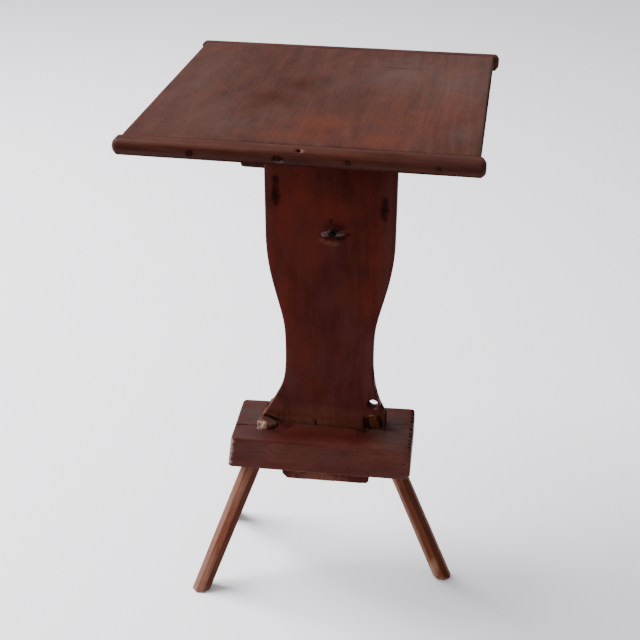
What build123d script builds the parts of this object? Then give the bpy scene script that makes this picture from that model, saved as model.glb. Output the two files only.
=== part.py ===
from build123d import *
import os
from math import cos, pi

# Table top: a board with a half-round batten across its front and rear ends
table_height = 656.0
top_width = 360.0
top_depth = 362.0
board_thickness = 13.0
board_round = 1.5
batten_thickness = 18.0
batten_width = 17.5
batten_overhang = 6.0
batten_end_round = 4.0
tongue_thickness = 5.0
tongue_length = 8.0
tongue_setback = 12.0
groove_gap = 0.4
batten_nail_shares = (-0.28, -0.045, 0.145, 0.38)
batten_nail_grip = 20.0
batten_hole_radius = 2.0
batten_hole_depth = 7.0
batten_hole_place = 4.0
batten_hole_setback = 6.0

# Pedestal: a vase-shaped plank, its tenon, its peg hole and the notch in its right foot
pedestal_offset = 7.5
pedestal_setback = -1.75
pedestal_thickness = 12.5
pedestal_width = 150.0
pedestal_round = 1.2
shoulder_height_share = 0.622
waist_width = 107.0
waist_height_share = 0.235
left_foot_reach = 84.0
left_foot_height = 6.0
right_foot_reach = 71.5
right_foot_height = 22.0
upper_curve_shares = ((0.68, 0.62), (0.08, 0.27))
left_curve_shares = ((0.177, 0.523), (0.59, 0.229))
right_curve_shares = ((0.222, 0.482), (0.594, 0.192))
left_foot_slope_shares = (1.0, 0.506)
right_foot_slope_shares = (1.0, 0.44)
tenon_left_reach = 60.5
tenon_right_reach = 52.0
tenon_drop = 40.0
tenon_end_slant = 4.0
tenon_left_corner = 7.0
tenon_right_corner = 3.0
peg_hole_radius = 5.8
peg_hole_rise = 37.4
peg_hole_inset = 16.5
foot_notch_width = 21.5
foot_notch_height = 21.5
foot_notch_round = 6.0
foot_notch_wall = 4.0

# Base block with chip-cut ends
block_top_height = 230.0
block_thickness = 44.2
block_length = 221.0
block_depth = 88.7
block_shift_left = 5.25
block_shift_forward = 3.75
block_turn = 2.3
block_left_flare = 5.7
block_rear_flare = 6.0
block_chamfer = 1.4
block_corner_chamfer = 3.2
block_low_end_chamfer = 5.0
chip_radius = 2.1
chip_run = 14.0
chip_sink = 0.9
right_top_chip_shares = (0.06, 0.14, 0.23, 0.31, 0.5, 0.6, 0.66, 0.76, 0.83, 0.91)
left_top_chip_shares = (0.3, 0.52, 0.72)
left_front_chip_shares = (0.14, 0.3, 0.46, 0.62, 0.8)
right_front_chip_shares = (0.25, 0.45, 0.7)

# Legs: places of the feet, shares of the block's half length and half depth where the
# axes leave its top, widths across the flats, and the stubs left standing on the block
leg_feet = {
    "front_left_leg": (-149.0, -74.0),
    "rear_left_leg": (-145.2, 80.0),
    "right_leg": (160.6, 3.0),
}
leg_head_shares = {
    "front_left_leg": (-0.6267, -0.248),
    "rear_left_leg": (-0.6086, 0.71),
    "right_leg": (0.5805, 0.304),
}
leg_foot_flats = {"front_left_leg": 21.8, "rear_left_leg": 20.4, "right_leg": 21.2}
leg_top_flats = {"front_left_leg": 22.7, "rear_left_leg": 19.2, "right_leg": 19.4}
leg_stubs = {"front_left_leg": 5.5, "rear_left_leg": 7.0, "right_leg": 15.0}
leg_end_chamfer = 2.0
leg_sides = 8
stub_room = 2.0
leg_wedge_width = 18.0
leg_wedge_inset = 1.5
leg_wedge_thickness = 12.0
leg_wedge_tip = 1.5
leg_wedge_depth = 30.0
leg_wedge_rise = 3.0
leg_wedge_break_share = 0.45

# Height slide: a slotted board behind the pedestal, two guide strips and a clamp bolt
travel = 100.0
slide_arm_left = 105.2
slide_arm_right = 70.5
slide_arm_height = 82.4
slide_arm_round = 4.0
slide_board_thickness = 13.0
slide_tongue_width = 102.4
slot_end_margin = 25.0
strip_width = 20.0
strip_length = 89.0
strip_round = 1.0
bolt_drop = 159.5
bolt_offset = 4.6
bolt_radius = 3.175
bolt_head_radius = 7.5
bolt_head_height = 3.2
bolt_neck_length = 4.0
bolt_end_reach = 4.0
washer_radius = 6.8
washer_hole_radius = 3.6
washer_thickness = 1.6
nut_height = 7.0
nut_base_radius = 5.6
nut_nose_radius = 4.4
nut_span = 26.0
nut_wing_thickness = 3.2
nut_wing_height = 10.5
nut_wing_tip_radius = 4.0
nut_wing_root = 1.2
nut_rest_turn = 5.0

# Cleat that joins the slotted board to the top, and its screws
cleat_size = 20.0
cleat_end_inset = 8.0
cleat_round = 1.0
screw_radius = 1.8
screw_head_radius = 3.6
screw_head_height = 2.6
screw_slot_width = 0.9
screw_slot_depth = 0.9
top_screw_shares = (0.1, 0.5, 0.9)
board_screw_shares = (0.3, 0.7)
screw_bite_share = 0.6

# Wrought nails
nail_shank = 2.2
nail_tip = 0.9
nail_head = 4.6
nail_head_thickness = 1.2
nail_sink = 0.5
strip_nail_head = 6.0
strip_nail_bite_share = 0.75
strip_nail_drops = {"left": (24.0, 5.0), "right": (32.0,)}
toe_nail_place = -16.2
toe_nail_rise = 3.0
toe_nail_length = 38.0
toe_nail_slope = (0.0, -0.57, 0.82)

# Clearances
fit = 0.05
slide_gap = 0.3
rest_gap = 0.3
side_gap = 0.4
neck_gap = 0.2
thread_gap = 0.08
nut_gap = 0.1
overrun = 5.0

# Levels and faces worked out from the sizes above
top_underside = table_height - board_thickness
top_half_width = top_width / 2
top_half_depth = top_depth / 2
board_half_width = top_half_width - batten_overhang
board_half_depth = top_half_depth - batten_width
batten_level = table_height - batten_thickness / 2
pedestal_front = pedestal_setback - pedestal_thickness / 2
pedestal_rear = pedestal_setback + pedestal_thickness / 2
pedestal_top = top_underside - rest_gap
bolt_place = pedestal_offset + bolt_offset
bolt_height = table_height - bolt_drop
slide_front = pedestal_rear + slide_gap
slide_rear = slide_front + slide_board_thickness
slide_arm_bottom = top_underside - slide_arm_height
slide_tongue_half = slide_tongue_width / 2
slot_top = bolt_height + bolt_radius + neck_gap
slot_bottom = bolt_height - travel - bolt_radius - neck_gap
slide_tongue_bottom = slot_bottom - slot_end_margin
strip_top = slide_arm_bottom - rest_gap
strip_inner = slide_tongue_half + side_gap
block_bottom_height = block_top_height - block_thickness
block_middle = pedestal_offset - block_shift_left
block_left = block_middle - block_length / 2
block_right = block_middle + block_length / 2
block_depth_middle = pedestal_setback - block_shift_forward
block_front = block_depth_middle - block_depth / 2
block_rear = block_depth_middle + block_depth / 2
washer_front = pedestal_front - washer_thickness
nut_seat = washer_front - nut_gap


def box_between(low, high):
    """Rectangular solid from its lowest to its highest corner."""
    size = Vector(*high) - Vector(*low)
    corner = (Align.MIN, Align.MIN, Align.MIN)
    return Pos(*low) * Box(size.X, size.Y, size.Z, align=corner)


def front_plane(level):
    """Plane facing the front at depth `level`: its x is X and its y is Z."""
    return Plane(origin=(0, level, 0), x_dir=(1, 0, 0), z_dir=(0, -1, 0))


def slab(outline, front, rear):
    """Solid of a front-view outline between two depths."""
    return extrude(front_plane(rear) * outline, amount=rear - front)


# Nails and screws: local z points out of the wood, the head's top is at zero
def nail(length, head):
    """Hand-made nail with a square, tapered shank and a flat square head."""
    cap = Pos(0, 0, -nail_head_thickness / 2) * Box(head, head, nail_head_thickness)
    root = Pos(0, 0, -nail_head_thickness) * Rectangle(nail_shank, nail_shank)
    tip = Pos(0, 0, -length) * Rectangle(nail_tip, nail_tip)
    return cap + loft([root, tip])


def nail_room(length, head):
    """Space that a nail takes in the wood, open above its head."""
    cap_room = box_between(
        (-head / 2 - fit, -head / 2 - fit, -nail_head_thickness - fit),
        (head / 2 + fit, head / 2 + fit, overrun),
    )
    shank_half = nail_shank / 2 + fit
    shank_room = box_between((-shank_half, -shank_half, -length - fit), (shank_half, shank_half, 0))
    return cap_room + shank_room


def screw(length):
    """Slotted countersunk wood screw with a pointed end."""
    head = Pos(0, 0, -screw_head_height / 2) * Cone(screw_radius, screw_head_radius, screw_head_height)
    shank = Pos(0, 0, -length / 2) * Cylinder(screw_radius, length - 2 * screw_radius)
    point = Pos(0, 0, -length + screw_radius / 2) * Cone(0, screw_radius, screw_radius)
    slot = Box(2 * screw_head_radius, screw_slot_width, 2 * screw_slot_depth)
    return head + shank + point - slot


def screw_room(length):
    """Space that a screw takes in the wood, open above its head."""
    head_half = screw_head_radius + fit
    shank_radius = screw_radius + fit
    head = Pos(0, 0, -screw_head_height / 2) * Cone(shank_radius, head_half, screw_head_height)
    mouth = Pos(0, 0, overrun / 2) * Cylinder(head_half, overrun)
    shank = Pos(0, 0, -length / 2) * Cylinder(shank_radius, length + fit)
    return head + mouth + shank


def place(shape, point, outward):
    """Shape moved to a point, with its local z along `outward`."""
    return Plane(origin=point, z_dir=outward).location * shape


# Table top
def batten_nail_places():
    """Head points of the front batten's nails, on the nose of the batten."""
    nose = -top_half_depth + nail_sink
    return [(share * top_width, nose, batten_level) for share in batten_nail_shares]


def batten_nail_length():
    return batten_width + batten_nail_grip


def batten_nails(rear):
    nails = [place(nail(batten_nail_length(), nail_head), point, (0, -1, 0))
             for point in batten_nail_places()]
    if rear:
        nails = [mirror(each, Plane.XZ) for each in nails]
    return Compound(children=nails)


def cut_batten_nails(piece):
    for point in batten_nail_places():
        piece -= place(nail_room(batten_nail_length(), nail_head), point, (0, -1, 0))
    return piece


def batten_tongue(gap):
    """Tongue on the board's front end, grown by a gap for the batten's groove."""
    half_width = board_half_width - tongue_setback + gap
    half_thickness = tongue_thickness / 2 + gap
    return box_between(
        (-half_width, -board_half_depth - tongue_length - gap, batten_level - half_thickness),
        (half_width, -board_half_depth, batten_level + half_thickness),
    )


def both_ends(shape):
    return shape + mirror(shape, Plane.XZ)


def make_top_board():
    """Board with its grain from front to back and a tongue on each end."""
    board = box_between(
        (-board_half_width, -board_half_depth, top_underside),
        (board_half_width, board_half_depth, table_height),
    )
    sides = board.edges().filter_by(Axis.Y)
    board = fillet(sides, board_round)
    board += both_ends(batten_tongue(0))
    board = cut_batten_nails(board)
    board = mirror(cut_batten_nails(mirror(board, Plane.XZ)), Plane.XZ)
    return cut_cleat_screws(board)


def make_front_batten():
    """Batten with a half-round nose, grooved for the board's tongue."""
    nose_radius = batten_thickness / 2
    nose_centre = -top_half_depth + nose_radius
    body = box_between(
        (-top_half_width, nose_centre, batten_level - nose_radius),
        (top_half_width, -board_half_depth, batten_level + nose_radius),
    )
    nose = Pos(0, nose_centre, batten_level) * Rot(0, 90, 0) * Cylinder(nose_radius, top_width)
    nose &= box_between(
        (-top_half_width, -top_half_depth, batten_level - nose_radius),
        (top_half_width, nose_centre, batten_level + nose_radius),
    )
    batten = body + nose
    ends = batten.faces().filter_by(Axis.X).edges()
    batten = chamfer(ends, batten_end_round)
    return cut_batten_nails(batten - batten_tongue(groove_gap))


def batten_hole():
    """Old blind hole in the top of the front batten."""
    depth = -top_half_depth + batten_hole_setback
    level = table_height + overrun / 2 - batten_hole_depth / 2
    return Pos(batten_hole_place, depth, level) * Cylinder(batten_hole_radius, batten_hole_depth + overrun)


# Height slide
def make_slide_board():
    """Slotted board behind the pedestal: wide arms under the top, a narrow tongue below."""
    arms = box_between(
        (pedestal_offset - slide_arm_left, slide_front, slide_arm_bottom),
        (pedestal_offset + slide_arm_right, slide_rear, top_underside),
    )
    corners = arms.edges().filter_by(Axis.Y).group_by(Axis.Z)[0]
    arms = fillet(corners, slide_arm_round)
    tongue = box_between(
        (pedestal_offset - slide_tongue_half, slide_front, slide_tongue_bottom),
        (pedestal_offset + slide_tongue_half, slide_rear, top_underside),
    )
    slot_half = bolt_radius + neck_gap
    slot = box_between(
        (bolt_place - slot_half, slide_front - overrun, slot_bottom),
        (bolt_place + slot_half, slide_rear + overrun, slot_top),
    )
    return cut_cleat_screws(arms + tongue - slot)


def make_cleat():
    """Square cleat in the corner between the top and the slotted board."""
    cleat = box_between(
        (pedestal_offset - slide_arm_left + cleat_end_inset, slide_rear, top_underside - cleat_size),
        (pedestal_offset + slide_arm_right - cleat_end_inset, slide_rear + cleat_size, top_underside),
    )
    free_edges = cleat.edges().filter_by(Axis.X).sort_by(Axis.Z)[:2]
    cleat = fillet(free_edges.sort_by(Axis.Y)[-1:], cleat_round)
    return cut_cleat_screws(cleat)


def cleat_screw_places():
    """Screw group name, head points and outward direction, for both rows of screws."""
    left = pedestal_offset - slide_arm_left + cleat_end_inset
    length = slide_arm_left + slide_arm_right - 2 * cleat_end_inset
    middle_depth = slide_rear + cleat_size / 2
    middle_level = top_underside - cleat_size / 2
    upward = [(left + share * length, middle_depth, top_underside - cleat_size)
              for share in top_screw_shares]
    forward = [(left + share * length, slide_rear + cleat_size, middle_level)
               for share in board_screw_shares]
    return {
        "cleat_top_screws": (upward, (0, 0, -1), cleat_size + screw_bite_share * board_thickness),
        "cleat_board_screws": (forward, (0, 1, 0), cleat_size + screw_bite_share * slide_board_thickness),
    }


def make_cleat_screws(name):
    points, outward, length = cleat_screw_places()[name]
    return Compound(children=[place(screw(length), point, outward) for point in points])


def cut_cleat_screws(piece):
    for points, outward, length in cleat_screw_places().values():
        for point in points:
            piece -= place(screw_room(length), point, outward)
    return piece


def strip_edges(side):
    """Inner and outer x of a guide strip; side is -1 at the left and 1 at the right."""
    near = pedestal_offset + side * strip_inner
    far = pedestal_offset + side * (strip_inner + strip_width)
    return min(near, far), max(near, far)


def strip_nail_places():
    places = []
    for side, name in ((-1, "left"), (1, "right")):
        middle = pedestal_offset + side * (strip_inner + strip_width / 2)
        for drop in strip_nail_drops[name]:
            places.append((middle, pedestal_front + nail_sink, strip_top - drop))
    return places


def strip_nail_length():
    return pedestal_thickness + strip_nail_bite_share * slide_board_thickness


def make_strip_nails():
    nails = [place(nail(strip_nail_length(), strip_nail_head), point, (0, -1, 0))
             for point in strip_nail_places()]
    return Compound(children=nails)


def cut_strip_nails(piece):
    for point in strip_nail_places():
        piece -= place(nail_room(strip_nail_length(), strip_nail_head), point, (0, -1, 0))
    return piece


def make_guide_strip(side):
    """Strip on the pedestal's back that guides one edge of the slotted board's tongue."""
    left, right = strip_edges(side)
    strip = box_between(
        (left, pedestal_rear, strip_top - strip_length),
        (right, pedestal_rear + slide_board_thickness, strip_top),
    )
    back_edges = strip.faces().sort_by(Axis.Y)[-1].edges()
    strip = chamfer(back_edges, strip_round)
    return cut_strip_nails(strip)


# Clamp: bolt, washer and wing nut on one axis; local z points to the front
def on_bolt_axis(shape, depth):
    axis_plane = Plane(origin=(bolt_place, depth, bolt_height), x_dir=(1, 0, 0), z_dir=(0, -1, 0))
    return axis_plane.location * shape


def make_bolt():
    """Coach bolt: domed head behind, square neck in the slot, round shank to the front."""
    head_depth = slide_rear + slide_gap
    reach = head_depth - nut_seat + nut_height + bolt_end_reach
    dome_sphere_radius = (bolt_head_radius ** 2 + bolt_head_height ** 2) / (2 * bolt_head_height)
    dome = Pos(0, 0, dome_sphere_radius - bolt_head_height) * Sphere(dome_sphere_radius)
    dome &= Pos(0, 0, -bolt_head_height / 2) * Cylinder(bolt_head_radius, bolt_head_height)
    neck = Pos(0, 0, bolt_neck_length / 2) * Box(2 * bolt_radius, 2 * bolt_radius, bolt_neck_length)
    shank = Pos(0, 0, reach / 2) * Cylinder(bolt_radius, reach)
    shank = chamfer(shank.edges().sort_by(Axis.Z)[-1:], bolt_radius / 4)
    return on_bolt_axis(dome + neck + shank, head_depth)


def make_washer():
    ring = Pos(0, 0, washer_thickness / 2) * (
        Cylinder(washer_radius, washer_thickness) - Cylinder(washer_hole_radius, washer_thickness)
    )
    return on_bolt_axis(ring, pedestal_front)


def make_wing_nut():
    """Wing nut: a conical hub with two upswept ears."""
    hub = Pos(0, 0, nut_height / 2) * Cone(nut_base_radius, nut_nose_radius, nut_height)
    ear_tip_x = nut_span / 2 - nut_wing_tip_radius
    ear_tip_z = nut_wing_height - nut_wing_tip_radius
    tip = Pos(ear_tip_x, ear_tip_z) * Circle(nut_wing_tip_radius)
    root = Pos(0, nut_height / 2 + nut_wing_root / 2) * Rectangle(nut_wing_root, nut_height - nut_wing_root)
    ear = make_hull(tip.edges() + root.edges())
    ears = ear + mirror(ear, Plane.YZ)
    ears = extrude(Plane.XZ * ears, amount=nut_wing_thickness / 2, both=True)
    bore = Pos(0, 0, nut_wing_height / 2) * Cylinder(bolt_radius + thread_gap, 2 * nut_wing_height)
    clear = Pos(0, 0, nut_height + nut_wing_height / 2) * Cylinder(nut_nose_radius, nut_wing_height)
    nut = hub + ears - bore - clear
    return on_bolt_axis(Rot(0, 0, nut_rest_turn) * nut, nut_seat)


# Legs
def leg_axis(name):
    """Foot point, point on the block's top and unit direction upwards."""
    foot_x, foot_y = leg_feet[name]
    across, back = leg_head_shares[name]
    low = Vector(foot_x, foot_y, 0)
    high = Vector(
        block_middle + across * block_length / 2,
        block_depth_middle + back * block_depth / 2,
        block_top_height,
    )
    return low, high, (high - low).normalized()


def leg_frame(name, point):
    """Plane square to a leg, with its x to the left."""
    low, high, up = leg_axis(name)
    left = Vector(-1, 0, 0) - up * Vector(-1, 0, 0).dot(up)
    return Plane(origin=point, x_dir=left, z_dir=up)


def leg_flats_at(name, height):
    """Width across the flats at a height over the floor."""
    taper = leg_top_flats[name] - leg_foot_flats[name]
    return leg_foot_flats[name] + taper * height / block_top_height


def corner_radius(flats):
    return flats / 2 / cos(pi / leg_sides)


def octagon(flats):
    return RegularPolygon(corner_radius(flats), leg_sides, rotation=180 / leg_sides)


def bore_radius(name):
    """Auger bore that the leg's corners just fit where it enters the block."""
    return corner_radius(leg_flats_at(name, block_bottom_height)) + fit


def leg_bore(name):
    """Bore through the block, carried up past the leg's stub."""
    low, high, up = leg_axis(name)
    depth = 2 * block_thickness
    length = depth + leg_stubs[name] + stub_room
    bore = Pos(0, 0, length / 2 - depth) * Cylinder(bore_radius(name), length)
    return leg_frame(name, high).location * bore


def make_leg(name):
    """Eight-sided leg, flat on the floor, driven up through the block."""
    low, high, up = leg_axis(name)
    stub = leg_stubs[name]
    foot_flats = leg_foot_flats[name]
    start = low - up * foot_flats
    end = high + up * stub
    low_face = leg_frame(name, start) * octagon(leg_flats_at(name, -foot_flats))
    end_face = leg_frame(name, end) * octagon(leg_flats_at(name, block_top_height + stub))
    shaft = loft([low_face, end_face])
    under_floor = Pos(low.X, low.Y, -foot_flats) * Box(4 * foot_flats, 4 * foot_flats, 2 * foot_flats)
    shaft -= under_floor
    shaft = chamfer(shaft.faces().sort_by(Axis.Z)[0].edges(), leg_end_chamfer)
    shaft = chamfer(shaft.faces().sort_by(Axis.Z)[-1].edges(), leg_end_chamfer)
    return shaft - wedge_solid(fit) if name == "front_left_leg" else shaft


def wedge_solid(gap):
    """Broken wedge driven beside the front left leg, grown by a gap for its kerf."""
    name = "front_left_leg"
    low, high, up = leg_axis(name)
    inner = leg_wedge_inset - gap
    tip_outer = inner + leg_wedge_tip + 2 * gap
    top_outer = inner + leg_wedge_thickness + 2 * gap
    outline = Polygon(
        (inner, -leg_wedge_depth - gap),
        (tip_outer, -leg_wedge_depth - gap),
        (top_outer, leg_wedge_break_share * leg_wedge_rise),
        (inner, leg_wedge_rise),
        align=None,
    )
    prism = extrude(Plane.XZ * outline, amount=leg_wedge_width / 2 + gap, both=True)
    return leg_frame(name, high).location * prism


# Pedestal
def curve_points(near, far, shares):
    """Points between two outline points, each at a share of the way across and down."""
    return [(near[0] + across * (far[0] - near[0]), near[1] + down * (far[1] - near[1]))
            for across, down in shares]


def side_outline(side, foot_reach, foot_height, lower_shares, slope_shares):
    """One side of the plank, from its top end to its foot; side is -1 left, 1 right."""
    plank_height = pedestal_top - block_top_height
    shoulder = (side * pedestal_width / 2, block_top_height + shoulder_height_share * plank_height)
    waist = (side * waist_width / 2, block_top_height + waist_height_share * plank_height)
    foot = (side * foot_reach, block_top_height + foot_height)
    heel = (side * foot_reach, block_top_height)
    upper = curve_points(waist, shoulder, upper_curve_shares)
    lower = curve_points(waist, foot, [(across, 1 - up) for across, up in lower_shares])
    down = (0, -1)
    slope = (slope_shares[0] * (foot[0] - waist[0]), slope_shares[1] * (foot[1] - waist[1]))
    return [
        Line((side * pedestal_width / 2, pedestal_top), shoulder),
        Spline(shoulder, *upper, waist, tangents=(down, down)),
        Spline(waist, *lower, foot, tangents=(down, slope)),
        Line(foot, heel),
    ]


def pedestal_outline():
    left_sizes = (left_foot_reach, left_foot_height, left_curve_shares, left_foot_slope_shares)
    left = side_outline(-1, *left_sizes)
    right_sizes = (right_foot_reach, right_foot_height, right_curve_shares, right_foot_slope_shares)
    right = side_outline(1, *right_sizes)
    top_edge = Line((-pedestal_width / 2, pedestal_top), (pedestal_width / 2, pedestal_top))
    sole = Line((-left_foot_reach, block_top_height), (right_foot_reach, block_top_height))
    return make_face(Wire(left + right + [top_edge, sole]))


def make_tenon():
    """Tenon under the pedestal's foot, its end sawn off at a slant."""
    left = pedestal_offset - tenon_left_reach
    right = pedestal_offset + tenon_right_reach
    right_tip = block_bottom_height - tenon_drop
    left_tip = right_tip - tenon_end_slant
    outline = Polygon(
        (left, block_top_height),
        (left, left_tip + tenon_left_corner),
        (left + tenon_left_corner, left_tip),
        (right - tenon_right_corner, right_tip),
        (right, right_tip + tenon_right_corner),
        (right, block_top_height),
        align=None,
    )
    return slab(outline, pedestal_front, pedestal_rear)


def mortise():
    """Opening through the block for the tenon."""
    return box_between(
        (pedestal_offset - tenon_left_reach - fit, pedestal_front - fit, block_bottom_height - overrun),
        (pedestal_offset + tenon_right_reach + fit, pedestal_rear + fit, block_top_height + overrun),
    )


def foot_notch():
    """Notch with rounded corners in the plank's right foot, over the right leg's stub."""
    right = pedestal_offset + right_foot_reach - foot_notch_wall
    opening = box_between(
        (right - foot_notch_width, pedestal_front - overrun, block_top_height),
        (right, pedestal_rear + overrun, block_top_height + foot_notch_height),
    )
    top_corners = opening.edges().filter_by(Axis.Y).group_by(Axis.Z)[-1]
    return fillet(top_corners, foot_notch_round)


def toe_nail_point():
    return (toe_nail_place + pedestal_offset, pedestal_front, block_top_height + toe_nail_rise)


def make_pedestal():
    """Vase-shaped plank that stands on the block and is tenoned through it."""
    plank = Pos(pedestal_offset, 0, 0) * slab(pedestal_outline(), pedestal_front, pedestal_rear)
    face_edges = plank.edges() - plank.edges().filter_by(Axis.Y) - plank.edges().filter_by(Axis.X)
    plank = fillet(face_edges, pedestal_round) + make_tenon() - foot_notch()
    bolt_hole_reach = 2 * pedestal_thickness
    plank -= on_bolt_axis(Cylinder(bolt_radius + neck_gap, bolt_hole_reach), pedestal_setback)
    peg_hole_place = (pedestal_offset + right_foot_reach - peg_hole_inset, pedestal_setback,
                      block_top_height + peg_hole_rise)
    plank -= place(Cylinder(peg_hole_radius, bolt_hole_reach), peg_hole_place, (0, -1, 0))
    plank = cut_strip_nails(plank)
    plank -= place(nail_room(toe_nail_length, nail_head), toe_nail_point(), toe_nail_slope)
    for name in leg_feet:
        plank -= leg_bore(name)
    return plank - wedge_solid(fit)


# Base block
def chips(start, end, inward, shares):
    """Gouge cuts across an arris that runs from start to end."""
    run = Vector(*end) - Vector(*start)
    cuts = []
    for share in shares:
        point = Vector(*start) + run * share
        cuts.append(place(Cylinder(chip_radius, chip_run), point, inward))
    return cuts


def make_block_blank():
    """Block a little deeper at its right end, its left end sawn at a slant, its arrises gouged."""
    low_left_x = block_left - block_left_flare
    outline = Polygon(
        (block_left, block_top_height),
        (low_left_x, block_bottom_height),
        (block_right, block_bottom_height),
        (block_right, block_top_height),
        align=None,
    )
    rear_right_depth = block_rear + block_rear_flare
    plan = Polygon(
        (low_left_x, block_front),
        (block_right, block_front),
        (block_right, rear_right_depth),
        (low_left_x, block_rear),
        align=None,
    )
    block = slab(outline, block_front, rear_right_depth)
    block &= extrude(Plane.XY.offset(block_bottom_height) * plan, amount=block_thickness)
    low_end = block.edges().filter_by(Axis.Y).group_by(Axis.Z)[0].sort_by(Axis.X)[-1]
    block = chamfer(low_end, block_low_end_chamfer)
    uprights = block.edges() - block.edges().filter_by(Plane.XY)
    block = chamfer(uprights, block_corner_chamfer)
    level_edges = block.faces().sort_by(Axis.Z)[-1].edges() + block.faces().sort_by(Axis.Z)[0].edges()
    block = chamfer(level_edges, block_chamfer)
    rear_right = (block_right - chip_sink, rear_right_depth, block_top_height - chip_sink)
    front_right = (block_right - chip_sink, block_front, block_top_height - chip_sink)
    rear_left = (block_left, block_rear, block_top_height)
    front_left = (block_left, block_front, block_top_height)
    low_left = (low_left_x, block_front, block_bottom_height)
    low_right = (block_right, block_front, block_bottom_height)
    cuts = chips(rear_right, front_right, (1, 0, -1), right_top_chip_shares)
    cuts += chips(rear_left, front_left, (-1, 0, -1), left_top_chip_shares)
    cuts += chips(front_left, low_left, (-1, 1, 0), left_front_chip_shares)
    cuts += chips(front_right, low_right, (1, 1, 0), right_front_chip_shares)
    for cut in cuts:
        block -= cut
    return block


def make_block():
    """Block turned a little on the plank, with its mortise and three leaning bores."""
    turn = Pos(block_middle, block_depth_middle, 0) * Rot(0, 0, block_turn)
    block = turn * Pos(-block_middle, -block_depth_middle, 0) * make_block_blank()
    block -= mortise()
    for name in leg_feet:
        block -= leg_bore(name)
    block -= place(nail_room(toe_nail_length, nail_head), toe_nail_point(), toe_nail_slope)
    return block - wedge_solid(fit)


parts = {
    "top_board": make_top_board(),
    "front_batten": make_front_batten() - batten_hole(),
    "rear_batten": mirror(make_front_batten(), Plane.XZ),
    "front_batten_nails": batten_nails(rear=False),
    "rear_batten_nails": batten_nails(rear=True),
    "slide_board": make_slide_board(),
    "top_cleat": make_cleat(),
    "cleat_top_screws": make_cleat_screws("cleat_top_screws"),
    "cleat_board_screws": make_cleat_screws("cleat_board_screws"),
    "left_guide_strip": make_guide_strip(-1),
    "right_guide_strip": make_guide_strip(1),
    "guide_strip_nails": make_strip_nails(),
    "clamp_bolt": make_bolt(),
    "clamp_washer": make_washer(),
    "wing_nut": make_wing_nut(),
    "pedestal_plank": make_pedestal(),
    "toe_nail": place(nail(toe_nail_length, nail_head), toe_nail_point(), toe_nail_slope),
    "base_block": make_block(),
    "front_left_wedge": wedge_solid(0),
}
for leg_name in leg_feet:
    parts[leg_name] = make_leg(leg_name)

os.makedirs("parts", exist_ok=True)
for part_name, shape in parts.items():
    export_step(shape, f"parts/{part_name}.step")
    print(part_name, len(shape.solids()), round(shape.volume))
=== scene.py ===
import math
import bmesh
import bpy
import numpy as np
from mathutils import Matrix, Vector, noise


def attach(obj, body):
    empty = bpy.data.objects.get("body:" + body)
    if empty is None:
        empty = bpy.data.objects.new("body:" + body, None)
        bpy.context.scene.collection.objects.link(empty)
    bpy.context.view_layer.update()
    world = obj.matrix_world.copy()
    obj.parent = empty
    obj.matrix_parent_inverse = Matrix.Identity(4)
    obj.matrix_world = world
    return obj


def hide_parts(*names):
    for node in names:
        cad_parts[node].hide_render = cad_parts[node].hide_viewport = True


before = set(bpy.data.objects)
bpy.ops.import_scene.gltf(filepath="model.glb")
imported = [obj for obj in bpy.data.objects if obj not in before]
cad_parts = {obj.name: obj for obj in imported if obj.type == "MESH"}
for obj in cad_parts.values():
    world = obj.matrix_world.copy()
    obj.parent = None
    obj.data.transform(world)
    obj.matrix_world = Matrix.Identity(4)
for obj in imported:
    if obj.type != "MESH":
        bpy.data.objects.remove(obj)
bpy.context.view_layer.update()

# Viewpoint: the camera stands right of the table and looks down at it, as in the photograph.
# With this place, these turns in radians and this focal length the top's edges fall as they do there.
camera_place = Vector((0.1939, -1.1799, 1.0427))
camera_yaw = -0.1668
camera_pitch = 0.5089
camera_roll = 0.0026
focal_pixels = 1150.5
picture_pixels = 640.0
sensor_width = 36.0

forward = Vector((
    math.sin(camera_yaw) * math.cos(camera_pitch),
    math.cos(camera_yaw) * math.cos(camera_pitch),
    -math.sin(camera_pitch),
))
level_right = Vector((math.cos(camera_yaw), -math.sin(camera_yaw), 0.0))
level_up = level_right.cross(forward)
right = math.cos(camera_roll) * level_right + math.sin(camera_roll) * level_up
up = right.cross(forward)
camera_data = bpy.data.cameras.new("camera")
camera_data.sensor_width = sensor_width
camera_data.lens = focal_pixels / picture_pixels * sensor_width
camera = bpy.data.objects.new("camera", camera_data)
bpy.context.collection.objects.link(camera)
turn = Matrix((right, up, -forward)).transposed()
camera.matrix_world = Matrix.Translation(camera_place) @ turn.to_4x4()
bpy.context.scene.camera = camera

# Floor: a plain pale floor that runs far behind the table. It belongs to the picture only,
# not to the table.
floor_reach = 30.0
floor_colour = (0.92, 0.91, 0.935, 1.0)
floor_roughness = 0.9

floor_mesh = bpy.data.meshes.new("floor")
floor_corners = [(x * floor_reach, y * floor_reach, 0.0) for x, y in ((-1, -1), (1, -1), (1, 1), (-1, 1))]
floor_mesh.from_pydata(floor_corners, [], [(0, 1, 2, 3)])
floor = bpy.data.objects.new("floor", floor_mesh)
bpy.context.collection.objects.link(floor)
floor_paint = bpy.data.materials.new("floor_paint")
floor_paint.use_nodes = True
floor_shader = floor_paint.node_tree.nodes["Principled BSDF"]
floor_shader.inputs["Base Color"].default_value = floor_colour
floor_shader.inputs["Roughness"].default_value = floor_roughness
floor_mesh.materials.append(floor_paint)

# Light: a dim pale room and one broad soft lamp, high at the table's left. The lamp's place,
# aim and width are in metres and its power is in watts.
room_colour = (0.94, 0.95, 1.0, 1.0)
room_strength = 0.65
lamp_place = Vector((-1.9, 0.3, 2.7))
lamp_aim = Vector((0.0, 0.3, 0.2))
lamp_width = 2.2
lamp_power = 310.0
lamp_colour = (0.97, 0.97, 1.0)

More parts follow.
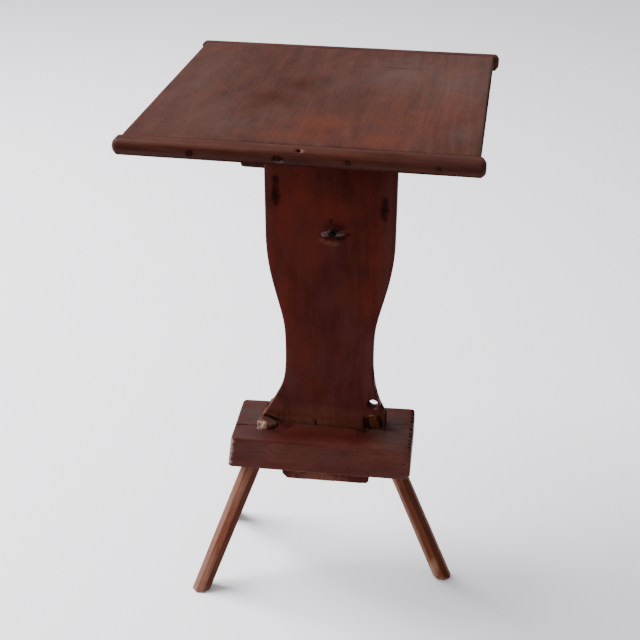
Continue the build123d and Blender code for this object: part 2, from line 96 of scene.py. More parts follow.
world = bpy.data.worlds.new("room")
bpy.context.scene.world = world
world.use_nodes = True
room = world.node_tree.nodes["Background"]
room.inputs["Color"].default_value = room_colour
room.inputs["Strength"].default_value = room_strength
lamp_data = bpy.data.lights.new("side_lamp", "AREA")
lamp_data.shape = "RECTANGLE"
lamp_data.size = lamp_data.size_y = lamp_width
lamp_data.energy = lamp_power
lamp_data.color = lamp_colour
lamp = bpy.data.objects.new("side_lamp", lamp_data)
bpy.context.collection.objects.link(lamp)
lamp.location = lamp_place
lamp.rotation_euler = (lamp_aim - lamp_place).to_track_quat("-Z", "Y").to_euler()

# Table top: one sawn and planed board, its grain from front to back, stained red-brown and
# worn to a satin sheen. Painted sheen and painted light lie on its face, and painted shade
# on its right edge. A tongue on each end sits in a batten's groove.
top_level = 0.656
top_voxel = 0.0022
top_seed = 11
top_pith = (0.06, 0.16)
# All tones are linear red, green and blue.
top_tones = {
    "dark": (0.0225, 0.0069, 0.005), "middle": (0.0375, 0.0112, 0.0073), "pale": (0.0535, 0.0185, 0.0127),
    "haze_and_sheen": (0.0471, 0.0233, 0.0185), "glow": (0.0686, 0.0155, 0.006), "worn": (0.085, 0.036, 0.026),
    "grime_and_shade": (0.012, 0.004, 0.003), "raw_and_light": (0.1284, 0.0616, 0.0462),
}
along_x = (0.0, -math.pi / 2, 0.0)
along_y = (math.pi / 2, 0.0, 0.0)
along_z = (0.0, 0.0, 0.0)


def level_marks(height, reach, *rows):
    """Marks of wear, stain, painted light and shade on a level face, each row x, y, two radii, strength
    and, if clear, its edge.
    """
    return [((x, y, height), (wide, deep, reach), *rest) for x, y, wide, deep, *rest in rows]


top_marks = {
    "glow": level_marks(
        top_level, 0.02,
        (0.014, -0.102, 0.035, 0.035, 0.75), (-0.007, -0.138, 0.05, 0.02, 0.6),
        (0.08, -0.06, 0.03, 0.06, 0.55), (0.11, -0.088, 0.025, 0.05, 0.6),
        (0.141, -0.037, 0.02, 0.06, 0.5), (0.081, -0.136, 0.035, 0.025, 0.75)),
    # Painted sheen: these marks make the top paler and greyer where the board would reflect the room.
    "haze_and_sheen": level_marks(
        top_level, 0.02,
        (0.078, 0.073, 0.045, 0.06, 1.0), (0.138, 0.06, 0.04, 0.09, 0.8),
        (-0.1, -0.1, 0.07, 0.07, 0.6), (-0.144, 0.0, 0.035, 0.13, 0.6),
        (0.152, -0.105, 0.014, 0.03, 0.7), (0.01, 0.05, 0.035, 0.05, 0.4)),
    # Dark clouds of old stain; the long mark on the board's right edge is painted shade.
    "iron": level_marks(
        top_level, 0.01,
        (0.072, 0.098, 0.02, 0.0022, 0.35), (-0.062, -0.06, 0.003, 0.003, 0.4),
        (-0.03, 0.022, 0.024, 0.03, 0.36, 0.6), (-0.05, -0.03, 0.026, 0.03, 0.42, 0.6),
        (-0.067, -0.062, 0.02, 0.024, 0.24, 0.6), (-0.012, 0.045, 0.02, 0.026, 0.22, 0.6),
        (-0.06, 0.1, 0.05, 0.05, 0.15, 0.6)) + [((0.1745, 0.0, 0.6525), (0.0035, 0.2, 0.0045), 0.7, 1.3)],
    # Painted light: this mark makes the board's right half lighter.
    "raw_and_light": level_marks(top_level, 0.02, (0.13, 0.03, 0.07, 0.14, 0.14, 0.6)),
}


def hand_noise(points, scale, seed):
    """Smooth random value for each point, always the same for the same seed."""
    shift = Vector((seed * 3.17, seed * 1.91, seed * 5.03))
    return np.array([noise.noise(Vector(point) * scale + shift) for point in points])


def numbers_of(rows, name, width, kind=np.float64):
    """One property of a mesh's vertices, edges or normals as an array, a row for each."""
    flat = np.empty(len(rows) * width, dtype=kind)
    rows.foreach_get(name, flat)
    return flat.reshape(-1, width)


def fine_copy(node, voxel):
    """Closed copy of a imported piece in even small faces."""
    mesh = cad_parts[node].data.copy()
    loose = bmesh.new()
    loose.from_mesh(mesh)
    bmesh.ops.remove_doubles(loose, verts=loose.verts, dist=1e-5)
    loose.to_mesh(mesh)
    loose.free()
    piece = bpy.data.objects.new(node + "_worn", mesh)
    bpy.context.collection.objects.link(piece)
    voxels = piece.modifiers.new("voxels", "REMESH")
    voxels.mode = "VOXEL"
    voxels.voxel_size = voxel
    seen = piece.evaluated_get(bpy.context.evaluated_depsgraph_get())
    fine = bpy.data.meshes.new_from_object(seen)
    piece.modifiers.clear()
    piece.data = fine
    fine.materials.clear()
    return piece


knife_reach = 1.5
knife_waver, knife_raggedness = 160.0, 0.35


def knife_cut(places, start, end, width, seed):
    """How far a cut bites at each place: 1 on its line, 0 at its ends and a width away."""
    start, end = np.array(start), np.array(end)
    run = end - start
    share = np.clip((places - start) @ run / (run @ run), 0.0, 1.0)
    distance = np.linalg.norm(places - start - share[:, None] * run, axis=1)
    near = distance < knife_reach * width
    distance[near] += knife_raggedness * width * hand_noise(places[near], knife_waver, seed + 3)
    taper = np.sqrt(np.clip(1.0 - np.abs(2.0 * share - 1.0) ** 3, 0.0, 1.0))
    return np.clip(1.0 - distance / width, 0.0, 1.0) * taper


mark_reach = 2.0
mark_rim = 0.3
clear_raggedness, soft_raggedness = 0.08, 0.4
stain_waver, stain_edge = 220.0, 1.3
cloud_waver, cloud_edge = 60.0, 0.8


def mark_strength(places, rows, waver, soft_edge, seed):
    """How strongly each place shows a kind of mark, from rows of centre, radii, strength and edge."""
    wear = np.zeros(len(places))
    for centre, radii, strength, *edge in rows:
        distance = np.linalg.norm((places - np.array(centre)) / np.array(radii), axis=1)
        near = distance < mark_reach
        raggedness = clear_raggedness if edge else soft_raggedness
        distance[near] += raggedness * hand_noise(places[near], waver, seed + 5)
        sharpness = edge[0] if edge else soft_edge
        spot = strength * np.clip(mark_rim + sharpness * (1.0 - distance), 0.0, 1.0)
        wear = np.maximum(wear, spot * near)
    return wear


bulge_passes = 3
bulge_gain = 4.0
rub_waver, least_rub, rub_spread = 45.0, 0.35, 0.5
plane_waver = 28.0
cut_grime, cut_unrubbed = 2.2, 2.0


def worn_copy(node, voxel, rounding, unevenness, seed, cuts=(), marks=None):
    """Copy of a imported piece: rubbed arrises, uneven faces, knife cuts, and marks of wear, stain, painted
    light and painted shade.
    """
    piece = fine_copy(node, voxel)
    fine = piece.data
    count = len(fine.vertices)
    places = numbers_of(fine.vertices, "co", 3)
    first, second = numbers_of(fine.edges, "vertices", 2, np.int64).T
    degree = np.bincount(first, minlength=count) + np.bincount(second, minlength=count)

    def around(values):
        """Mean of the neighbours of every vertex."""
        total = np.bincount(first, values[second], count) + np.bincount(second, values[first], count)
        return total / degree

    def around_places():
        return np.stack([around(places[:, axis]) for axis in range(3)], axis=1)

    normals = numbers_of(fine.vertex_normals, "vector", 3)
    bulge = np.einsum("ij,ij->i", places - around_places(), normals) / voxel
    for smoothing_pass in range(bulge_passes):
        bulge = 0.5 * bulge + 0.5 * around(bulge)
    patchy = 0.5 + 0.5 * hand_noise(places, rub_waver, seed)
    for smoothing_pass in range(rounding):
        places += (least_rub + rub_spread * patchy)[:, None] * (around_places() - places)
    places -= normals * (unevenness * (0.5 + 0.5 * hand_noise(places, plane_waver, seed + 7)))[:, None]
    wear = {"nook": np.clip(-bulge * bulge_gain, 0.0, 1.0), "rub": np.clip(bulge * bulge_gain, 0.0, 1.0)}
    for start, end, width, depth in cuts:
        cut = knife_cut(places, start, end, width, seed)
        places -= normals * (cut * depth)[:, None]
        wear["nook"] = np.maximum(wear["nook"], np.clip(cut * cut_grime, 0.0, 1.0))
        wear["rub"] *= 1.0 - np.clip(cut * cut_unrubbed, 0.0, 1.0)
    # The marks: stains and wear, and in some places painted light and painted shade.
    for label in ("iron", "haze_and_sheen", "glow", "raw_and_light"):
        waver, edge = (stain_waver, stain_edge) if label in ("iron", "raw_and_light") else (cloud_waver, cloud_edge)
        wear[label] = mark_strength(places, (marks or {}).get(label, ()), waver, edge, seed)
    fine.vertices.foreach_set("co", places.ravel())
    for label, values in wear.items():
        layer = fine.attributes.new(label, "FLOAT", "POINT")
        layer.data.foreach_set("value", values.astype(np.float32))
    fine.polygons.foreach_set("use_smooth", np.ones(len(fine.polygons), dtype=bool))
    fine.update()
    return piece


class Finish:
    """Node-based finish of one material: its shader and the steps that colour it."""

    def __init__(self, name, seed, polish, tint):
        self.material = bpy.data.materials.new(name)
        self.material.use_nodes = True
        self.nodes, self.links = self.material.node_tree.nodes, self.material.node_tree.links
        self.shader = self.nodes["Principled BSDF"]
        self.shader.inputs["Specular IOR Level"].default_value = polish
        self.shader.inputs["Specular Tint"].default_value = (*tint, 1.0)
        self.seed = seed

    def put(self, socket, value):
        """Links another node's socket, or sets a plain value."""
        if isinstance(value, bpy.types.NodeSocket):
            self.links.new(value, socket)
        else:
            socket.default_value = value

    def moved(self, vector, location=(0.0, 0.0, 0.0), rotation=(0.0, 0.0, 0.0), scale=(1.0, 1.0, 1.0)):
        """Coordinates moved, turned and stretched, to centre or turn a pattern on a piece."""
        mapping = self.nodes.new("ShaderNodeMapping")
        self.links.new(vector, mapping.inputs["Vector"])
        mapping.inputs["Location"].default_value = location
        mapping.inputs["Rotation"].default_value = rotation
        mapping.inputs["Scale"].default_value = scale
        return mapping.outputs["Vector"]

    def cloud(self, vector, fineness, detail=2.0, rough=0.5):
        """Noise with that many spots to the metre on each axis."""
        texture = self.nodes.new("ShaderNodeTexNoise")
        shift = (self.seed * 1.3, self.seed * 2.1, self.seed * 0.7)
        self.links.new(self.moved(vector, location=shift, scale=fineness), texture.inputs["Vector"])
        texture.inputs["Scale"].default_value = 1.0
        texture.inputs["Detail"].default_value = detail
        texture.inputs["Roughness"].default_value = rough
        return texture.outputs["Fac"]

    def count(self, operation, *values):
        """One sum with up to three numbers."""
        math_node = self.nodes.new("ShaderNodeMath")
        math_node.operation = operation
        for socket, value in zip(math_node.inputs, values):
            self.put(socket, value)
        return math_node.outputs["Value"]

    def stretched(self, value, low, high, to_low=0.0, to_high=1.0):
        """A value's stretch from low to high, eased onto another stretch."""
        rescale = self.nodes.new("ShaderNodeMapRange")
        rescale.interpolation_type = "SMOOTHSTEP"
        self.put(rescale.inputs["Value"], value)
        limits = {"From Min": low, "From Max": high, "To Min": to_low, "To Max": to_high}
        for label, limit in limits.items():
            rescale.inputs[label].default_value = limit
        return rescale.outputs["Result"]

    def tinted(self, share, under, over):
        """One colour laid over another by a share."""
        mix = self.nodes.new("ShaderNodeMix")
        mix.data_type = "RGBA"
        self.put(mix.inputs[0], share)
        for index, colour in ((6, under), (7, over)):
            given = colour if isinstance(colour, bpy.types.NodeSocket) else (*colour, 1.0)
            self.put(mix.inputs[index], given)
        return mix.outputs[2]

    def worn(self, label):
        """A kind of mark that worn_copy has put on the piece: wear, stain, painted light or painted shade.
        """
        attribute = self.nodes.new("ShaderNodeAttribute")
        attribute.attribute_name = label
        return attribute.outputs["Fac"]

    def finish(self, colour, dullness, relief, strength, depth):
        """The finished material, from its colour, roughness and relief."""
        self.links.new(colour, self.shader.inputs["Base Color"])
        self.put(self.shader.inputs["Roughness"], dullness)
        bump = self.nodes.new("ShaderNodeBump")
        bump.inputs["Strength"].default_value = strength
        bump.inputs["Distance"].default_value = depth
        self.links.new(relief, bump.inputs["Height"])
        self.links.new(bump.outputs["Normal"], self.shader.inputs["Normal"])
        return self.material


# How fine the wood's figure is, in spots to the metre: twice across the grain, then along it.
# The noise lies mostly between 0.3 and 0.7, so a stretch that starts at 0.5 leaves half a face as it is.
fibre_fineness = (420.0, 420.0, 14.0)
thread_fineness = (1300.0, 1300.0, 45.0)
pore_fineness = (950.0, 950.0, 90.0)
sway_fineness = (14.0, 14.0, 3.5)
blotch_fineness = (55.0, 55.0, 24.0)
veil_fineness = (17.0, 17.0, 9.0)
warmth_fineness = (38.0, 38.0, 17.0)
warmth_shift = (3.1, 1.7, 0.9)
streak_fineness = (130.0, 130.0, 7.0)
ring_gap = 0.0032
ring_sway = 0.03
pore_share = 0.16
stain_and_shade_share = 0.92
sheen_tint = (1.0, 0.72, 0.62)
wood_relief = 0.0004


def stained_wood(name, tones, grain_turn, pith, seed, gloss, polish, ring_share=0.16, fibre_share=0.75,
                 blotch_share=0.6, veil_share=0.6, rub_share=0.45, streak_share=0.3, thread_share=0.3,
                 nook_share=0.85):
    """Old stained wood: faint year rings about a pith line, fibres, pores, blotches, wear, dirt, and
    painted light and shade from its marks.
    """
    wood = Finish(name, seed, polish, sheen_tint)
    turned = wood.moved(wood.nodes.new("ShaderNodeTexCoord").outputs["Object"], rotation=grain_turn)
    fibres = wood.cloud(turned, fibre_fineness, detail=3.0, rough=0.6)
    threads = wood.cloud(turned, thread_fineness, detail=1.0)
    pores = wood.cloud(turned, pore_fineness, detail=1.0)
    sway = wood.cloud(turned, sway_fineness)
    blotches = wood.cloud(turned, blotch_fineness, detail=4.0, rough=0.6)
    veils = wood.cloud(turned, veil_fineness, detail=3.0)
    warmth = wood.cloud(wood.moved(turned, location=warmth_shift), warmth_fineness, detail=3.0)
    streaks = wood.cloud(turned, streak_fineness)

    across = wood.nodes.new("ShaderNodeSeparateXYZ")
    wood.links.new(wood.moved(turned, location=(*pith, 0.0)), across.inputs["Vector"])
    square = [wood.count("MULTIPLY", across.outputs[axis], across.outputs[axis]) for axis in "XY"]
    radius = wood.count("SQRT", wood.count("ADD", *square))
    rings = wood.count("PINGPONG", wood.count("MULTIPLY_ADD", sway, ring_sway, radius), ring_gap)
    rings = wood.stretched(rings, 0.0, ring_gap)

    tone = wood.count("MULTIPLY", rings, ring_share)
    tone = wood.count("MULTIPLY_ADD", fibres, fibre_share, tone)
    tone = wood.count("MULTIPLY_ADD", blotches, blotch_share, tone)
    level = 0.5 * (ring_share + fibre_share + blotch_share)
    colour = wood.tinted(wood.stretched(tone, level - 0.3, level + 0.02), tones["dark"], tones["middle"])
    colour = wood.tinted(wood.stretched(tone, level - 0.02, level + 0.3), colour, tones["pale"])
    colour = wood.tinted(wood.stretched(streaks, 0.56, 0.74, 0.0, streak_share), colour, tones["dark"])
    veil = wood.stretched(veils, 0.5, 0.66, 0.0, 0.5 * veil_share)
    # Veils and the haze marks: greyer wood, and on some pieces painted sheen and painted light.
    haze_and_sheen = wood.count("MULTIPLY", wood.worn("haze_and_sheen"), wood.stretched(blotches, 0.3, 0.6, 0.55, 1.0))
    colour = wood.tinted(wood.count("MAXIMUM", veil, haze_and_sheen), colour, tones["haze_and_sheen"])
    warm = wood.stretched(warmth, 0.5, 0.66, 0.0, 0.6 * veil_share)
    glow = wood.count("MULTIPLY", wood.worn("glow"), wood.stretched(blotches, 0.35, 0.6, 0.6, 1.0))
    colour = wood.tinted(wood.count("MAXIMUM", warm, glow), colour, tones["glow"])
    colour = wood.tinted(wood.stretched(threads, 0.56, 0.74, 0.0, thread_share), colour, tones["dark"])
    pore_mask = wood.stretched(pores, 0.62, 0.7)
    colour = wood.tinted(wood.count("MULTIPLY", pore_mask, pore_share), colour, tones["grime_and_shade"])
    rubbed = wood.stretched(wood.count("MULTIPLY_ADD", blotches, 0.6, wood.worn("rub")), 0.4, 1.2)
    colour = wood.tinted(wood.count("MULTIPLY", rubbed, rub_share), colour, tones["worn"])
    # The raw marks: bare wood, and on some pieces painted light.
    raw_and_light = wood.count("MULTIPLY", wood.worn("raw_and_light"), wood.stretched(fibres, 0.3, 0.6, 0.6, 1.0))
    colour = wood.tinted(raw_and_light, colour, tones["raw_and_light"])
    # Dirt in the hollows; the iron marks are rust stains and, on several pieces, painted shade.
    for label, share in (("nook", nook_share), ("iron", stain_and_shade_share)):
        colour = wood.tinted(wood.count("MULTIPLY", wood.worn(label), share), colour, tones["grime_and_shade"])

    shine = wood.stretched(wood.worn("iron"), 0.0, 0.6, polish, 0.0)
    wood.put(wood.shader.inputs["Specular IOR Level"], shine)
    dullness = wood.count("MULTIPLY_ADD", blotches, 0.22, gloss - 0.11)
    dullness = wood.count("MULTIPLY_ADD", pore_mask, 0.15, dullness)
    dullness = wood.count("MULTIPLY_ADD", wood.worn("iron"), 0.35, dullness)
    relief = wood.count("MULTIPLY_ADD", fibres, 0.9, wood.count("MULTIPLY", rings, 0.2))
    relief = wood.count("MULTIPLY_ADD", pore_mask, -0.35, relief)
    return wood.finish(colour, dullness, relief, 0.35, wood_relief)


def hang(piece, body, node, material=None):
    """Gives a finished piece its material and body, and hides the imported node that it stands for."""
    if material:
        piece.data.materials.append(material)
    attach(piece, body)
    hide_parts(node)


top_board = worn_copy("top_board", top_voxel, rounding=1, unevenness=0.00025, seed=top_seed,
                      marks=top_marks)
top_stain = stained_wood("top_wood_stain", top_tones, along_y, top_pith, top_seed, gloss=0.44, polish=0.05,
                         fibre_share=0.5, blotch_share=0.8, veil_share=0.3, streak_share=0.15,
                         thread_share=0.2)
hang(top_board, "top", "top_board", top_stain)

# Battens: two lengths across the board's ends with a half-round nose, grooved for its tongues
# and nailed through the nose. Their stain is a shade darker, and painted shade darkens their undersides.
batten_voxel = 0.0011
batten_pith = (0.02, 0.05)
nose_y = 0.181
batten_nail_x = (-0.1008, -0.0162, 0.0522, 0.1368)
batten_nail_z = 0.647
batten_nail_rust = (0.7, 1.0, 0.45, 0.3)
batten_tones = {
    "dark": (0.019, 0.0048, 0.0032), "middle": (0.037, 0.0106, 0.0068), "pale": (0.055, 0.018, 0.012),
    "haze_and_sheen": (0.037, 0.0145, 0.0125), "glow": (0.052, 0.0098, 0.0042), "worn": (0.075, 0.03, 0.021),
    "grime_and_shade": (0.0085, 0.0029, 0.0032), "raw_and_light": (0.17, 0.115, 0.095),
}
front_batten_marks = {
    "raw_and_light": [((0.0078, -0.1768, 0.6555), (0.0026, 0.0018, 0.002), 0.35),
            ((-0.0145, -0.1795, 0.6446), (0.0045, 0.004, 0.0018), 0.7),
            ((0.1795, -0.18, 0.652), (0.0015, 0.002, 0.0015), 0.8)],
    "haze_and_sheen": [((-0.18, -0.173, 0.647), (0.008, 0.014, 0.012), 0.9),
             ((0.18, -0.173, 0.647), (0.005, 0.012, 0.01), 0.6),
             ((0.0, -0.1795, 0.6435), (0.2, 0.004, 0.003), 0.5)],
    "glow": [((0.03, -0.176, 0.653), (0.06, 0.008, 0.008), 0.6),
             ((-0.1, -0.176, 0.653), (0.06, 0.01, 0.006), 0.4)],
}
for batten_node, side, batten_seed in (("front_batten", -1.0, 23), ("rear_batten", 1.0, 29)):
    rust = [((x, side * nose_y, batten_nail_z), (0.0055, 0.006, 0.0035), strength)
            for x, strength in zip(batten_nail_x, batten_nail_rust)]
    # Painted shade: a dark band along the underside, below the nose.
    underside_shade = ((0.0, side * 0.174, 0.635), (0.3, 0.015, 0.0095), 0.9, 1.3)
    dent_grime = ((-0.0155, side * nose_y, 0.6475), (0.0065, 0.006, 0.0024), 0.9, 2.0)
    batten_marks = {"iron": [*rust, underside_shade, dent_grime]} | (front_batten_marks if side < 0.0 else {})
    batten = worn_copy(batten_node, batten_voxel, rounding=4, unevenness=0.0002, seed=batten_seed,
                       marks=batten_marks)
    batten_stain = stained_wood(batten_node + "_stain", batten_tones, along_x, batten_pith, batten_seed,
                                gloss=0.46, polish=0.06)
    hang(batten, "top", batten_node, batten_stain)

# Nails: hand-forged iron nails with faceted heads and square tapered shanks, driven a
# little below the wood and rusted black. Eight hold the two battens.
nail_tones = {
    "dark": (0.008, 0.004, 0.0035), "middle": (0.0125, 0.0066, 0.0058), "pale": (0.019, 0.0105, 0.0095),
    "rust": (0.015, 0.006, 0.0045),
}
rusty_tones = {
    "dark": (0.017, 0.0042, 0.0028), "middle": (0.027, 0.0062, 0.004), "pale": (0.036, 0.0105, 0.0075),
    "rust": (0.04, 0.0075, 0.0038),
}
nail_head_height = 0.0012
nail_shank = 0.0022
batten_nail_sink = 0.0005
batten_nail_length = 0.0375
batten_nail_head = 0.0046
scale_fineness = (900.0, 900.0, 900.0)
patch_fineness = (260.0, 260.0, 260.0)
iron_relief = 0.0002


def old_iron(name, tones, seed, gloss, shine, rub_share=0.0):
    """Forged or cast iron: dark skin, rust in the hollows, rubbed bright where it is handled, with painted
    light and shade where marked.
    """
    iron = Finish(name, seed, 0.5 * shine, (1.0, 1.0, 1.0))
    iron.shader.inputs["Metallic"].default_value = shine
    place = iron.nodes.new("ShaderNodeTexCoord").outputs["Object"]
    scale_marks = iron.cloud(place, scale_fineness, detail=4.0, rough=0.65)
    patches = iron.cloud(place, patch_fineness)
    colour = iron.tinted(iron.stretched(scale_marks, 0.35, 0.65), tones["dark"], tones["middle"])
    colour = iron.tinted(iron.stretched(scale_marks, 0.6, 0.8, 0.0, 0.5), colour, tones["pale"])
    colour = iron.tinted(iron.stretched(patches, 0.5, 0.7, 0.0, 0.7), colour, tones["rust"])
    if rub_share:
        bright = iron.count("ADD", iron.worn("rub"), iron.count("MULTIPLY", patches, 0.5))
        rubbed = iron.count("MULTIPLY", iron.stretched(bright, 0.45, 0.95), rub_share)
        colour = iron.tinted(rubbed, colour, tones["bright"])
        colour = iron.tinted(iron.count("MULTIPLY", iron.worn("nook"), 0.35), colour, tones["dark"])
        colour = iron.tinted(iron.worn("haze_and_sheen"), colour, tones["haze_and_sheen"])
        colour = iron.tinted(iron.worn("iron"), colour, tones["deep"])
    dullness = iron.count("MULTIPLY_ADD", patches, 0.35, gloss - 0.15)
    return iron.finish(colour, dullness, scale_marks, 0.5, iron_relief)


head_sides = 7
head_radius_share = 0.56
head_flat_share = 0.35
shank_sides = 4
shank_tip_share = 0.3
shank_neck_share = 0.7
nail_lean = 0.06
nail_turn = 0.7
dent_fineness = 700.0


def nail_tree():
    """Geometry Nodes tree that stands a hand-forged nail on every point, each a little different."""
    tree = bpy.data.node_groups.new("forged_nails", "GeometryNodeTree")
    face = tree.interface
    sockets = {"points": face.new_socket("Points", in_out="INPUT", socket_type="NodeSocketGeometry")}
    kinds = {"Head": "Float", "Head Height": "Float", "Length": "Float", "Shank": "Float",
             "Facing": "Vector", "Seed": "Int", "Iron": "Material"}
    for label, kind in kinds.items():
        sockets[label] = face.new_socket(label, in_out="INPUT", socket_type="NodeSocket" + kind)
    face.new_socket("Nails", in_out="OUTPUT", socket_type="NodeSocketGeometry")
    nodes, links = tree.nodes, tree.links
    given = nodes.new("NodeGroupInput").outputs
    made = nodes.new("NodeGroupOutput").inputs

    def count(operation, first, second):
        """One sum with two numbers."""
        math_node = nodes.new("ShaderNodeMath")
        math_node.operation = operation
        for socket, value in zip(math_node.inputs, (first, second)):
            if isinstance(value, bpy.types.NodeSocket):
                links.new(value, socket)
            else:
                socket.default_value = value
        return math_node.outputs["Value"]

    def tapered(sides, low_radius, high_radius, depth, low_level):
        """Faceted taper that stands at a level."""
        cone = nodes.new("GeometryNodeMeshCone")
        cone.inputs["Vertices"].default_value = sides
        links.new(low_radius, cone.inputs["Radius Bottom"])
        links.new(high_radius, cone.inputs["Radius Top"])
        links.new(depth, cone.inputs["Depth"])
        lift = nodes.new("GeometryNodeTransform")
        links.new(cone.outputs["Mesh"], lift.inputs["Geometry"])
        height = nodes.new("ShaderNodeCombineXYZ")
        links.new(low_level, height.inputs["Z"])
        links.new(height.outputs["Vector"], lift.inputs["Translation"])
        return lift.outputs["Geometry"]

    head_radius = count("MULTIPLY", given["Head"], head_radius_share)
    head = tapered(head_sides, head_radius, count("MULTIPLY", head_radius, head_flat_share),
                   given["Head Height"], count("MULTIPLY", given["Head Height"], -1.0))
    split = nodes.new("GeometryNodeSubdivideMesh")
    split.inputs["Level"].default_value = 2
    links.new(head, split.inputs["Mesh"])
    shank_depth = count("SUBTRACT", given["Length"], count("MULTIPLY", given["Head Height"], 0.5))
    shank = tapered(shank_sides, count("MULTIPLY", given["Shank"], shank_tip_share),
                    count("MULTIPLY", given["Shank"], shank_neck_share),
                    shank_depth, count("MULTIPLY", given["Length"], -1.0))
    join = nodes.new("GeometryNodeJoinGeometry")
    links.new(shank, join.inputs["Geometry"])
    links.new(split.outputs["Mesh"], join.inputs["Geometry"])
    stand = nodes.new("GeometryNodeInstanceOnPoints")
    links.new(given["Points"], stand.inputs["Points"])
    links.new(join.outputs["Geometry"], stand.inputs["Instance"])
    links.new(given["Facing"], stand.inputs["Rotation"])
    spin = nodes.new("FunctionNodeRandomValue")
    spin.data_type = "FLOAT_VECTOR"
    spin.inputs[0].default_value = (-nail_lean, -nail_lean, -nail_turn)
    spin.inputs[1].default_value = (nail_lean, nail_lean, nail_turn)
    links.new(given["Seed"], spin.inputs["Seed"])
    turn_each = nodes.new("GeometryNodeRotateInstances")
    links.new(stand.outputs["Instances"], turn_each.inputs["Instances"])
    links.new(spin.outputs[0], turn_each.inputs["Rotation"])
    real = nodes.new("GeometryNodeRealizeInstances")
    links.new(turn_each.outputs["Instances"], real.inputs["Geometry"])
    dents = nodes.new("ShaderNodeTexNoise")
    dents.inputs["Scale"].default_value = dent_fineness
    centred = nodes.new("ShaderNodeVectorMath")
    centred.operation = "SUBTRACT"
    links.new(dents.outputs["Color"], centred.inputs[0])
    centred.inputs[1].default_value = (0.5, 0.5, 0.5)
    shrunk = nodes.new("ShaderNodeVectorMath")
    shrunk.operation = "SCALE"
    links.new(centred.outputs["Vector"], shrunk.inputs[0])
    links.new(count("MULTIPLY", given["Head Height"], 0.5), shrunk.inputs["Scale"])
    hammer = nodes.new("GeometryNodeSetPosition")
    links.new(real.outputs["Geometry"], hammer.inputs["Geometry"])
    links.new(shrunk.outputs["Vector"], hammer.inputs["Offset"])
    coat = nodes.new("GeometryNodeSetMaterial")
    links.new(hammer.outputs["Geometry"], coat.inputs["Geometry"])
    links.new(given["Iron"], coat.inputs["Material"])
    links.new(coat.outputs["Geometry"], made["Nails"])
    return tree, {label: socket.identifier for label, socket in sockets.items()}


forged_nails, nail_sockets = nail_tree()
nail_iron = old_iron("nail_iron_skin", nail_tones, 83, gloss=0.85, shine=0.1)
rusty_iron = old_iron("rusty_iron_skin", rusty_tones, 87, gloss=0.85, shine=0.1)


def drive_nails(node, body, places, facing, head, length, seed, iron):
    """Nails at the given head points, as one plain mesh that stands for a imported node."""
    points = bpy.data.meshes.new(node + "_points")
    points.from_pydata(places, [], [])
    nails = bpy.data.objects.new(node + "_forged", points)
    bpy.context.collection.objects.link(nails)
    smith = nails.modifiers.new("smith", "NODES")
    smith.node_group = forged_nails
    sizes = {"Head": head, "Head Height": nail_head_height, "Length": length, "Shank": nail_shank}
    for label, value in (sizes | {"Facing": facing, "Seed": seed, "Iron": iron}).items():
        smith[nail_sockets[label]] = value
    forged = bpy.data.meshes.new_from_object(nails.evaluated_get(bpy.context.evaluated_depsgraph_get()))
    nails.modifiers.clear()
    nails.data = forged
    hang(nails, body, node)


for nail_node, side, nail_seed in (("front_batten_nails", -1.0, 3), ("rear_batten_nails", 1.0, 5)):
    nail_points = [(x, side * (nose_y - batten_nail_sink), batten_nail_z) for x in batten_nail_x]
    drive_nails(nail_node, "top", nail_points, facing=(-side * math.pi / 2, 0.0, 0.0),
                head=batten_nail_head, length=batten_nail_length, seed=nail_seed, iron=rusty_iron)

# Height slide: the slotted board behind the pedestal, the cleat that holds it to the top
# and the two guide strips, all of the same boards, planed and stained but never polished.
hidden_tones = {
    "dark": (0.012, 0.0042, 0.003), "middle": (0.024, 0.0085, 0.006), "pale": (0.042, 0.0175, 0.012),
    "haze_and_sheen": (0.034, 0.018, 0.015), "glow": (0.038, 0.012, 0.0065), "worn": (0.06, 0.03, 0.022),
    "grime_and_shade": (0.01, 0.004, 0.003), "raw_and_light": (0.36, 0.24, 0.14),
}
# Body, voxel, grain, pith and seed of each piece.
slide_pieces = {
    "slide_board": ("top", 0.002, along_z, (0.04, 0.09), 31),
    "top_cleat": ("top", 0.0014, along_x, (0.02, 0.03), 37),
    "left_guide_strip": ("stand", 0.0013, along_z, (0.03, 0.05), 41),
    "right_guide_strip": ("stand", 0.0013, along_z, (0.03, 0.05), 43),
}
for slide_node, (slide_body, slide_voxel, slide_grain, slide_pith, slide_seed) in slide_pieces.items():
    slide_piece = worn_copy(slide_node, slide_voxel, rounding=1, unevenness=0.0002, seed=slide_seed)
    slide_stain = stained_wood(slide_node + "_stain", hidden_tones, slide_grain, slide_pith, slide_seed,
                               gloss=0.6, polish=0.06)
    hang(slide_piece, slide_body, slide_node, slide_stain)

# Cleat screws: slotted countersunk wood screws of dull steel with a little rust, driven through
# the cleat up into the top and forwards into the slide board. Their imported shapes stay.
steel_tones = {
    "dark": (0.05, 0.047, 0.045), "middle": (0.12, 0.113, 0.106), "pale": (0.2, 0.19, 0.18),
    "rust": (0.09, 0.045, 0.025),
}
dull_steel = old_iron("screw_steel_skin", steel_tones, 89, gloss=0.4, shine=0.9)
for screw_node in ("cleat_top_screws", "cleat_board_screws"):
    for material_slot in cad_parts[screw_node].material_slots:
        material_slot.material = dull_steel

